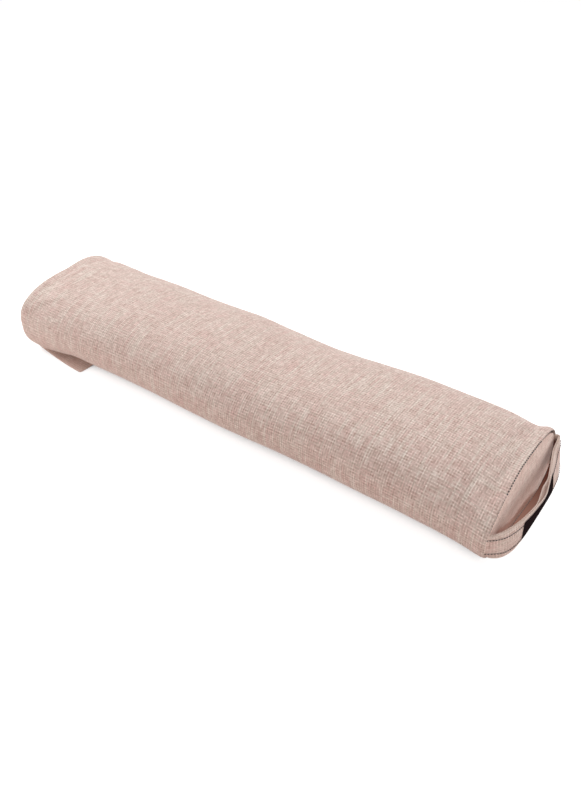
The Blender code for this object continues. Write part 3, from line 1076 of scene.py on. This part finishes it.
class StrapForm:
    """The strap handle's form: it leaves one side seam, bows out and enters the other.
    Its lower edge stands further out at the back, so the band leans there."""

    TOP_HALF_SPAN = 0.0905
    TOP_HALF_SPAN_REAR = 0.0938
    LOW_HALF_SPAN_FRONT = 0.0860
    LOW_HALF_SPAN_REAR = 0.0930
    TOP_BOW = 0.0248
    LOW_BOW = 0.0212
    TOP_FRONT = (1.8, 0.60)
    TOP_REAR = (1.05, 1.06)
    LOW_FRONT = (5.0, 0.50)
    LOW_REAR = (4.0, 0.50)
    LEAN_POWER = 1.8
    # At its rear end the upper edge stands out and up a little: how far, where, its reach
    REAR_OUT = (0.0032, 0.95, 0.20)
    REAR_RISE = (0.0062, 1.0, 0.28)
    # Both ends tuck in behind the seam
    TUCK = 0.003
    REAR_TUCK = 0.0035
    TUCK_START = radians(72)
    SEAM_IN = 0.001
    # The grip, where the upper part of the layers parts
    GRIP_START = -0.024
    GRIP_END = 0.028
    GRIP_LOW = 0.6
    # Where the front and rear halves meet
    SPLIT = -0.004

    def __init__(self, sizes, body):
        self.sizes = sizes
        self.body = body
        self.end_x = body.near

    @staticmethod
    def bow(share, form):
        return max(0.0, 1 - abs(share) ** form[0]) ** form[1]

    def edge(self, share, top):
        """Plan point of an edge of the band; share runs from -1 at the front seam to 1."""
        low_span = self.LOW_HALF_SPAN_FRONT if share < 0 else self.LOW_HALF_SPAN_REAR
        top_span = self.TOP_HALF_SPAN if share < 0 else self.TOP_HALF_SPAN_REAR
        span = top_span if top else low_span
        height = self.TOP_BOW if top else self.LOW_BOW
        if top:
            form = self.TOP_FRONT if share < 0 else self.TOP_REAR
        else:
            form = self.LOW_FRONT if share < 0 else self.LOW_REAR
        out, place, reach = self.REAR_OUT
        out *= bump(share - place, reach) if top else 0.0
        return self.end_x + height * self.bow(share, form) + out, span * share

    def middle_line(self, angle, across):
        """Point of the band's outer face; angle runs from -pi/2 to pi/2, across from 0 to 1."""
        share = sin(angle)
        top_x, top_y = self.edge(share, True)
        low_x, low_y = self.edge(share, False)
        x = low_x + (top_x - low_x) * across ** self.LEAN_POWER
        y = low_y + (top_y - low_y) * across
        z = self.sizes.bottom + (self.sizes.top - self.sizes.bottom) * across
        rise, place, reach = self.REAR_RISE
        z += rise * bump(share - place, reach) * across
        tuck = max(0.0, (abs(angle) - self.TUCK_START) / (pi / 2 - self.TUCK_START)) ** 2
        seam_y = copysign(self.seam_half_width(z) - self.SEAM_IN, share)
        inward = self.TUCK + (self.REAR_TUCK * across if share > 0 else 0.0)
        return Vector((x - inward * tuck, y + (seam_y - y) * tuck, z))

    def seam_half_width(self, z):
        """Half width of the near seam at a height."""
        half, low, high = self.body.extents(self.end_x)
        rise = min(1.0, abs(2 * z - low - high) / (high - low))
        return half * (1 - rise ** self.body.sizes.squareness) ** (1 / self.body.sizes.squareness)

    def normal(self, angle, across):
        """Outward direction of the band, level with the floor."""
        step = 0.02
        low = max(-pi / 2, angle - step)
        high = min(pi / 2, angle + step)
        along = self.middle_line(high, across) - self.middle_line(low, across)
        return Vector((along.y, -along.x, 0)).normalized()

    def parting(self, y):
        """How far the inner layer bows away from the outer one around the grip."""
        if not self.GRIP_START < y < self.GRIP_END:
            return 0.0
        share = (y - self.GRIP_START) / (self.GRIP_END - self.GRIP_START)
        return self.sizes.grip_opening * sin(pi * share) ** 2

    def spot(self, angle, across, depth, parted=False):
        """A point at a depth behind the band's outer face."""
        spot = self.middle_line(angle, across)
        if parted:
            depth += self.parting(spot.y) * clamped((across - self.GRIP_LOW) / (1 - self.GRIP_LOW))
        return spot - self.normal(angle, across) * depth

    def angle_at(self, y):
        """The angle at which the middle of the band passes y."""
        low_span = self.LOW_HALF_SPAN_FRONT if y < 0 else self.LOW_HALF_SPAN_REAR
        span = (self.TOP_HALF_SPAN + low_span) / 2
        from_share = max(-1.0, min(1.0, y / span))
        return atan2(from_share, sqrt(max(1e-12, 1 - from_share ** 2)))


def strap_layer(form, angles, depth, parted=False, rows=8):
    """One layer of the strap between two angles, as an open surface. The inner layer takes
    painted shade towards its rear end, and the rows at the folded edges take a painted highlight."""
    columns = len(angles) - 1
    start = spaced(-pi / 2, angles[0], MEASURE_STEP) if angles[0] > -pi / 2 else []
    before = running_lengths([form.spot(angle, 0.5, depth, parted) for angle in start])[-1]
    lengths = running_lengths([form.spot(angle, 0.5, depth, parted) for angle in angles])
    lengths = [before + length for length in lengths]
    height = form.sizes.top - form.sizes.bottom

    def place(column, row):
        across = row / rows
        spot = form.spot(angles[column], across, depth, parted)
        wave = noise.noise(Vector((lengths[column] * STRAP_WAVES_ALONG,
                                   across * STRAP_WAVES_ACROSS, 3.0 if parted else 1.0)))
        return spot + form.normal(angles[column], across) * wave * STRAP_WAVE

    def cloth_place(column, row):
        return (height * row / rows, lengths[column] + (INNER_WEAVE_SHIFT if parted else 0.0))

    builder = new_grid(columns, rows)
    lay_cloth(builder, columns, rows, place, cloth_place)
    # The edge rows take a painted highlight, and the inner layer's rear part painted shade
    fade = builder.verts.layers.float.new(EDGE_HIGHLIGHT_LAYER)
    shade = builder.verts.layers.float.new(SHADE)
    for vert in builder.verts:
        share = (vert.co.z - form.sizes.bottom) / height
        vert[fade] = 1.0 if min(share, 1 - share) < 0.5 / rows else 0.0
        rear = clamped((vert.co.y - INNER_SHADE_START) / INNER_SHADE_FADE)
        vert[shade] = rear if parted and share < INNER_SHADE_TOP else 0.0
    outward(builder, Vector((form.end_x - 0.05, 0, form.sizes.bottom)))
    return builder


def spaced(low, high, step):
    """Even angles between two limits."""
    count = max(2, ceil((high - low) / step))
    return [low + (high - low) * index / count for index in range(count + 1)]


class BOLSTER_OT_stage(bpy.types.Operator):
    """Make the floor, the soft light and the camera"""

    bl_idname = "bolster.stage"
    bl_label = "Stage"

    def execute(self, context):
        scene = context.scene
        look = scene.bolster_stage
        scene.view_settings.view_transform = "Standard"
        self.make_floor(look)
        self.make_world(scene, look)
        for name, place, size, watts in LAMPS:
            self.make_lamp(scene, name, place, size, watts * look.lamp)
        self.make_camera(scene)
        return {"FINISHED"}

    def make_floor(self, look):
        finish = Finish("pale_floor", 0.9)
        spot = finish.object_place()
        grain = finish.node("ShaderNodeTexNoise", {},
                            {"Vector": spot, "Scale": 14.0, "Detail": 3.0})
        darker = tuple(channel * 0.98 for channel in look.floor_colour)
        pale_floor = finish.mix(grain, darker, look.floor_colour)
        x, y = finish.parted(spot)
        x = x - END_LOW.x
        # Below the strap the floor's colour is painted darker, as shade
        finish.wear(finish.mix(self.under_strap(x, y), pale_floor, UNDER_STRAP_SHADE_TONE))
        seen = finish.node("ShaderNodeLightPath", {}, {})
        direct = seen + seen.sibling("Is Glossy Ray") + seen.sibling("Is Transmission Ray")
        near = finish.node("ShaderNodeAmbientOcclusion", {"samples": 8},
                           {"Distance": CONTACT_REACH}, output=1)
        clear = near.between(0.0, CONTACT_END)
        dim = finish.node("ShaderNodeBsdfDiffuse", {}, {"Color": FLOOR_TONE})
        glow = finish.node("ShaderNodeEmission", {},
                           {"Color": (1.0, 1.0, 1.0), "Strength": clear * FLOOR_GLOW})
        pale = finish.node("ShaderNodeAddShader", {}, {0: dim, 1: glow})
        deep = self.gap_shade(x, y)
        tone = finish.mix(y.between(0.0, GAP_TONE_REAR), GAP_FRONT_TONE, GAP_REAR_TONE)
        shade = finish.node("ShaderNodeEmission", {}, {"Color": tone, "Strength": 1.0})
        seen_floor = finish.node("ShaderNodeMixShader", {}, {0: deep, 1: pale, 2: shade})
        shader = Socket(finish, finish.shader.outputs[0])
        chosen = finish.node("ShaderNodeMixShader", {},
                             {0: direct.smaller(1.0), 1: shader, 2: seen_floor})
        output = finish.nodes["Material Output"]
        finish.links.new(chosen.output, output.inputs["Surface"])
        builder = bmesh.new()
        bmesh.ops.create_grid(builder, x_segments=8, y_segments=8, size=7.0)
        bmesh.ops.translate(builder, vec=(0, 0, -FLOOR_DROP), verts=builder.verts)
        floor_piece = finished("floor", builder, finish.material)

    def under_strap(self, x, y):
        """Where the floor below the strap is painted darker, as shade that throws back little
        light.
        """
        beside = (UNDER_STRAP_HALF - y.larger(0.0 - y)).between(0.0, UNDER_STRAP_HALF_FADE)
        inner = (x + UNDER_STRAP_INNER).between(0.0, UNDER_STRAP_INNER_FADE)
        outer = (UNDER_STRAP_OUTER - x).between(0.0, UNDER_STRAP_OUTER_FADE)
        return inner * outer * beside

    def gap_shade(self, x, y):
        """Where the floor lies in deep shadow between the end panel and the strap."""
        past = y - GAP_WIDEST
        behind = past.maths("GREATER_THAN", past, 0.0)
        limit = GAP_DEPTH - past * past * (GAP_FRONT_CURVE + behind * GAP_REAR_CURVE)
        inside = (limit - x).between(-GAP_EDGE, GAP_EDGE)
        inside = inside * (x - GAP_INNER).between(0.0, GAP_INNER_FADE)
        inside = inside * (y - GAP_FRONT).between(0.0, GAP_FRONT_FADE)
        past_panel = x + GAP_PAST_PANEL + (y - GAP_PAST_PANEL_Y) * GAP_PAST_PANEL_SLOPE
        beside = (GAP_PANEL_END - y).between(0.0, GAP_PANEL_FADE)
        beside = beside.larger(past_panel.between(-GAP_PAST_PANEL_EDGE, GAP_PAST_PANEL_EDGE))
        return inside * beside * (GAP_REAR - y).between(0.0, GAP_REAR_FADE)

    def make_world(self, scene, look):
        world = bpy.data.worlds.new("soft_sky")
        scene.world = world
        world.use_nodes = True
        nodes = world.node_tree.nodes
        links = world.node_tree.links
        sky = nodes["Background"]
        sky.inputs["Color"].default_value = (1.0, 0.985, 0.98, 1.0)
        sky.inputs["Strength"].default_value = look.sky
        white = nodes.new("ShaderNodeBackground")
        white.inputs["Color"].default_value = (1.0, 1.0, 1.0, 1.0)
        white.inputs["Strength"].default_value = 1.0
        path = nodes.new("ShaderNodeLightPath")
        both = nodes.new("ShaderNodeMixShader")
        links.new(path.outputs["Is Camera Ray"], both.inputs[0])
        links.new(sky.outputs[0], both.inputs[1])
        links.new(white.outputs[0], both.inputs[2])
        links.new(both.outputs[0], nodes["World Output"].inputs["Surface"])

    def make_lamp(self, scene, name, place, size, watts):
        data = bpy.data.lights.new(name, "AREA")
        data.shape = "RECTANGLE"
        data.size, data.size_y = size
        data.energy = watts
        data.color = (1.0, 0.985, 0.978)
        lamp = bpy.data.objects.new(name, data)
        scene.collection.objects.link(lamp)
        lamp.location = place
        aim = Vector((0, 0, 0.05)) - lamp.location
        lamp.rotation_mode = "QUATERNION"
        lamp.rotation_quaternion = aim.to_track_quat("-Z", "Y")

    def make_camera(self, scene):
        data = bpy.data.cameras.new("camera")
        data.sensor_width = 36.0
        data.lens = CAMERA_LENS
        data.clip_start = 0.05
        camera = bpy.data.objects.new("camera", data)
        scene.collection.objects.link(camera)
        right = Vector(CAMERA_RIGHT)
        ahead = Vector(CAMERA_AHEAD)
        right = (right - ahead * right.dot(ahead)).normalized()
        up = right.cross(ahead).normalized()
        camera.rotation_mode = "QUATERNION"
        camera.rotation_quaternion = Matrix((right, up, -ahead)).transposed().to_quaternion()
        camera.location = CAMERA_PLACE
        scene.camera = camera


class BOLSTER_OT_cover(bpy.types.Operator):
    """Make the cover's tube and its two crowned end panels"""

    bl_idname = "bolster.cover"
    bl_label = "Cover and end panels"

    def execute(self, context):
        sizes = context.scene.bolster_sizes
        look = context.scene.bolster_linen
        body = Body(sizes)
        cloth = linen("cover_linen_look", look)
        # Lift makes the panels' cloth lighter than the cover's: painted light, so the near panel
        # reads evenly lit
        panel_cloth = linen("panel_linen_look", look, calm=1.25, lift=1.26,
                            shade_colour=PANEL_SHADE_TONE)
        tube = finished("cover_cloth", build_tube(body, tube_stations(body)), cloth,
                        "cushion", "cover_linen")
        settle(tube, body.held, context.scene.bolster_filling)
        thicken(tube, sizes.cloth)
        subdivide(tube)
        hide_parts("cover_tube")
        for name, node, x, side, rise in (
                ("end_panel_near", "near_end_panel", body.near, 1, sizes.near_crown),
                ("end_panel_far", "far_end_panel", body.far, -1, sizes.far_crown)):
            builder = build_panel(body, x - side * PANEL_GAP, side, PANEL_INSET, rise, PANEL_FLANGE)
            panel = finished(name, builder, panel_cloth, "cushion", "cover_linen")
            thicken(panel, sizes.cloth)
            subdivide(panel)
            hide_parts(node)
        return {"FINISHED"}


class BOLSTER_OT_seams(bpy.types.Operator):
    """Sew the dark stitches along the seam at the handle end"""

    bl_idname = "bolster.seams"
    bl_label = "Seam stitches"

    def execute(self, context):
        body = Body(context.scene.bolster_sizes)
        strap = context.scene.bolster_strap
        centre = Vector((body.near - 0.03, 0, body.sizes.top / 2))
        builder = bmesh.new()
        rows = [("", [])]
        for turn in body.turns:
            spot = body.point(body.near - SEAM_STITCH_IN, turn, SEAM_STITCH_SUNK)
            raised = body.point(body.near - SEAM_STITCH_IN, turn, SEAM_STITCH_RAISED)
            beside = strap.bottom - STRAP_COVERS_LOW < spot.z < strap.top + STRAP_COVERS_HIGH
            if beside and abs(spot.y) > STRAP_COVERS_FROM:
                kind = "under_strap"
            elif spot.z > SEAM_OPEN_LOW and SEAM_OPEN_FRONT < spot.y < SEAM_OPEN_REAR:
                kind = "open"
            else:
                kind = "drawn_in"
            if kind != rows[-1][0]:
                rows.append((kind, rows[-1][1][-1:] if kind != "under_strap" else []))
            rows[-1][1].append(raised if kind == "open" else spot)
        for kind, spots in rows:
            if kind in SEAM_STITCHES and len(spots) > 1:
                normals = [(spot - centre).normalized() for spot in spots]
                pitch, radius = SEAM_STITCHES[kind]
                add_stitches(builder, spots, normals, STITCH_LENGTH, pitch, radius)
        thread = thread_finish("dark_thread", context.scene.bolster_linen.dark_thread)
        finished("seam_stitches_near", builder, thread, "cushion", "cover_linen")
        return {"FINISHED"}


class BOLSTER_OT_strap(bpy.types.Operator):
    """Make the two-layer strap, its topstitching and its bare label"""

    bl_idname = "bolster.strap"
    bl_label = "Strap handle and label"

    def execute(self, context):
        sizes = context.scene.bolster_strap
        look = context.scene.bolster_linen
        form = StrapForm(sizes, Body(context.scene.bolster_sizes))
        # Lift makes the strap's cloth a little lighter than the cover's: painted light. Its folded
        # edges take a painted highlight and its inner layer painted shade
        cloth = linen("strap_linen_look", look, calm=1.1, lift=1.06, edge_highlight_strength=0.55,
                      shade_colour=STRAP_SHADE_TONE)
        thread = thread_finish("strap_thread", look.dark_thread)
        split = form.angle_at(form.SPLIT)
        halves = (("front", -pi / 2, split, -1, "handle_end_front"),
                  ("rear", split, pi / 2, 1, "handle_end_rear"))
        for half, low, high, side, sewn_end in halves:
            angles = spaced(low, high, BAND_STEP)
            angles = [low - OVERLAP] * (side > 0) + angles + [high + OVERLAP] * (side < 0)
            for layer, depth, parted, node in (
                    ("outer", sizes.layer / 2, False, "handle_outer_layer"),
                    ("inner", sizes.layer * 1.5 + LAYER_GAP, True, "handle_inner_layer")):
                depth += HALF_STEP if side > 0 else 0.0
                builder = strap_layer(form, angles, depth, parted)
                piece = finished(f"strap_{layer}_{half}", builder, cloth, slot="strap_linen")
                thicken(piece, sizes.layer, 0.0)
                subdivide(piece)
                piece.visible_shadow = False
                self.cross_joint(piece, side)
                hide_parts(node, sewn_end)
                length = running_lengths([form.spot(a, 0.5, depth, parted) for a in angles])[-1]
            builder = bmesh.new()
            for across in STITCH_ROWS:
                rows = [(a, across + ROW_RISE * abs(sin(a)) ** 4) for a in angles[1:-1]]
                for depth, sign in ((-STITCH_OUT, 1), (2 * sizes.layer + STITCH_BEHIND, -1)):
                    path = [form.spot(a, row, depth, sign < 0) for a, row in rows]
                    normals = [form.normal(a, row) * sign for a, row in rows]
                    add_stitches(builder, path, normals, sizes.stitch, sizes.stitch_pitch,
                                 STITCH_RADIUS)
            stitches = finished(f"strap_stitches_{half}", builder, thread, slot="strap_linen")
            self.cross_joint(stitches, side)
        self.make_label(form, look)
        return {"FINISHED"}

    def cross_joint(self, piece, side):
        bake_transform(piece)

    def make_label(self, form, look):
        low = (LABEL_LOW.z - form.sizes.bottom) / (form.sizes.top - form.sizes.bottom)
        high = (LABEL_HIGH.z - form.sizes.bottom) / (form.sizes.top - form.sizes.bottom)
        angles = spaced(form.angle_at(LABEL_LOW.y), form.angle_at(LABEL_HIGH.y), BAND_STEP)
        rows = 6
        columns = len(angles) - 1
        lengths = running_lengths([form.spot(angle, 0.5, -LABEL_OFF) for angle in angles])

        def place(column, row):
            return form.spot(angles[column], low + (high - low) * row / rows, -LABEL_OFF)

        def cloth_place(column, row):
            return (lengths[column], (LABEL_HIGH.z - LABEL_LOW.z) * row / rows)

        builder = new_grid(columns, rows)
        lay_cloth(builder, columns, rows, place, cloth_place)
        outward(builder, Vector((form.end_x - 0.05, 0, 0)))
        cloth = satin("label_satin_look", look)
        label = finished("label_bare", builder, cloth, "handle", "label_satin")
        thicken(label, LABEL_CLOTH, 0.0)
        subdivide(label)
        label.visible_shadow = False
        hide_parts("handle_label")


class BOLSTER_OT_flap(bpy.types.Operator):
    """Make the closing flap with its soft fold, and finish the two strips"""

    bl_idname = "bolster.flap"
    bl_label = "Closing flap"

    def execute(self, context):
        look = context.scene.bolster_linen
        # Lift makes the flap's cloth lighter than the cover's: painted light that makes up for the
        # shade it lies in under the cover
        cloth = linen("flap_linen_look", look, calm=2.0, lift=1.36)
        thickness = FLAP_ROOM * FLAP_CLOTH_SHARE
        radius = (FLAP_ROOM - FOLD_SLACK) / 2 - thickness / 2
        fold = Vector((FLAP_LOW.x + FOLD_IN, 0, FOLD_HEIGHT))
        reach = FLAP_HIGH.x - fold.x
        path = [fold + Vector((step, 0, radius)) for step in FOLD_SEWN]
        for step in range(FOLD_STEPS + 1):
            turn = pi / 2 + pi * step / FOLD_STEPS
            path.append(fold + Vector((radius * cos(turn), 0, radius * sin(turn))))
        flat_z = thickness / 2 + FLAP_OFF_FLOOR
        count = 18
        for step in range(1, count + 1):
            path.append(Vector((fold.x + reach * step / count, 0, flat_z)))
        lengths = running_lengths(path)
        rows = 30

        def place(column, row):
            spot = path[column]
            share = clamped((spot.x - fold.x) / reach)
            half = FLAP_FOLD_HALF
            if column > len(FOLD_SEWN) + FOLD_STEPS // 2:
                half += FLAP_WIDENING * (1 - (1 - share) ** FLAP_WIDENING_POWER)
            return Vector((spot.x, half * (2 * row / rows - 1), spot.z))

        def cloth_place(column, row):
            return (lengths[column], FLAP_FLAT_HALF + FLAP_FLAT_HALF * (2 * row / rows - 1))

        builder = new_grid(len(path) - 1, rows)
        lay_cloth(builder, len(path) - 1, rows, place, cloth_place)
        bmesh.ops.recalc_face_normals(builder, faces=builder.faces)
        flap = finished("flap_cloth", builder, cloth, slot="cover_linen")
        thicken(flap, thickness, 0.0)
        subdivide(flap)
        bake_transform(flap)
        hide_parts("closing_flap")
        for node, colour, shade, grain in (
                ("hook_strip", (0.50, 0.38, 0.33), (0.30, 0.21, 0.18), 900.0),
                ("loop_strip", (0.58, 0.44, 0.39), (0.40, 0.29, 0.25), 1400.0)):
            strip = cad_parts[node]
            strip.data.materials.clear()
            strip.data.materials.append(tape(f"{node}_look", colour, shade, grain))
        return {"FINISHED"}


class BOLSTER_OT_lining(bpy.types.Operator):
    """Make the lining bag, its mouth panel and the filling inside the cover"""

    bl_idname = "bolster.lining"
    bl_label = "Lining and filling"

    def execute(self, context):
        sizes = context.scene.bolster_sizes
        body = Body(sizes)
        lining = cotton("lining_cotton_look", (0.82, 0.80, 0.74), (0.72, 0.70, 0.64))
        filling = cotton("cotton_filling_look", (0.88, 0.86, 0.81), (0.78, 0.76, 0.70))
        for name, node, material, slot, inset, ends in (
                ("lining_bag", "liner_bag", lining, "lining_cotton", 0.0020, 0.0075),
                ("filling_batting", "filling_core", filling, "cotton_filling", 0.0050, 0.0100)):
            far = body.far + ends
            near = body.near - ends
            inner = [x for x, draw in tube_stations(body) if draw == 0.0 and far < x < near]
            stations = [(far + step, draw) for step, draw in LINING_TURN_IN]
            stations += [(x, 0.0) for x in inner if far + LINING_CLEAR < x < near - LINING_CLEAR]
            stations += [(near - step, draw) for step, draw in reversed(LINING_TURN_IN)]
            builder = build_tube(body, stations, inset, mouth=False)
            ends_open = [edge for edge in builder.edges if edge.is_boundary]
            bmesh.ops.holes_fill(builder, edges=ends_open, sides=0)
            bmesh.ops.recalc_face_normals(builder, faces=builder.faces)
            piece = finished(name, builder, material, "cushion", slot)
            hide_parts(node)
        builder = build_panel(body, body.far + LINING_MOUTH_IN, -1, LINING_MOUTH_INSET,
                              sizes.far_crown * LINING_MOUTH_CROWN, LINING_MOUTH_FLANGE,
                              count=20, pucker=False)
        mouth = finished("lining_mouth", builder, lining, "cushion", "lining_cotton")
        thicken(mouth, LINING_CLOTH)
        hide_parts("liner_mouth_panel")
        return {"FINISHED"}


class BOLSTER_PT_panel(bpy.types.Panel):
    """Buttons for each group of the bolster's pieces"""

    bl_label = "Yoga bolster"
    bl_idname = "BOLSTER_PT_panel"
    bl_space_type = "VIEW_3D"
    bl_region_type = "UI"
    bl_category = "Bolster"

    def draw(self, context):
        for operator in OPERATORS:
            self.layout.operator(operator.bl_idname)


GROUPS = (
    (BolsterSizes, "bolster_sizes"),
    (Filling, "bolster_filling"),
    (LinenLook, "bolster_linen"),
    (StrapSizes, "bolster_strap"),
    (StageLook, "bolster_stage"),
)
OPERATORS = (BOLSTER_OT_stage, BOLSTER_OT_cover, BOLSTER_OT_seams, BOLSTER_OT_strap,
             BOLSTER_OT_flap, BOLSTER_OT_lining)


def register():
    for group, name in GROUPS:
        bpy.utils.register_class(group)
        setattr(bpy.types.Scene, name, PointerProperty(type=group))
    for kind in (*OPERATORS, BOLSTER_PT_panel):
        bpy.utils.register_class(kind)


def unregister():
    for kind in (BOLSTER_PT_panel, *reversed(OPERATORS)):
        bpy.utils.unregister_class(kind)
    for group, name in reversed(GROUPS):
        delattr(bpy.types.Scene, name)
        bpy.utils.unregister_class(group)


def main():
    """Make every piece."""
    register()
    bpy.ops.bolster.stage()
    bpy.ops.bolster.cover()
    bpy.ops.bolster.seams()
    bpy.ops.bolster.strap()
    bpy.ops.bolster.flap()
    bpy.ops.bolster.lining()


if __name__ == "__main__":
    main()
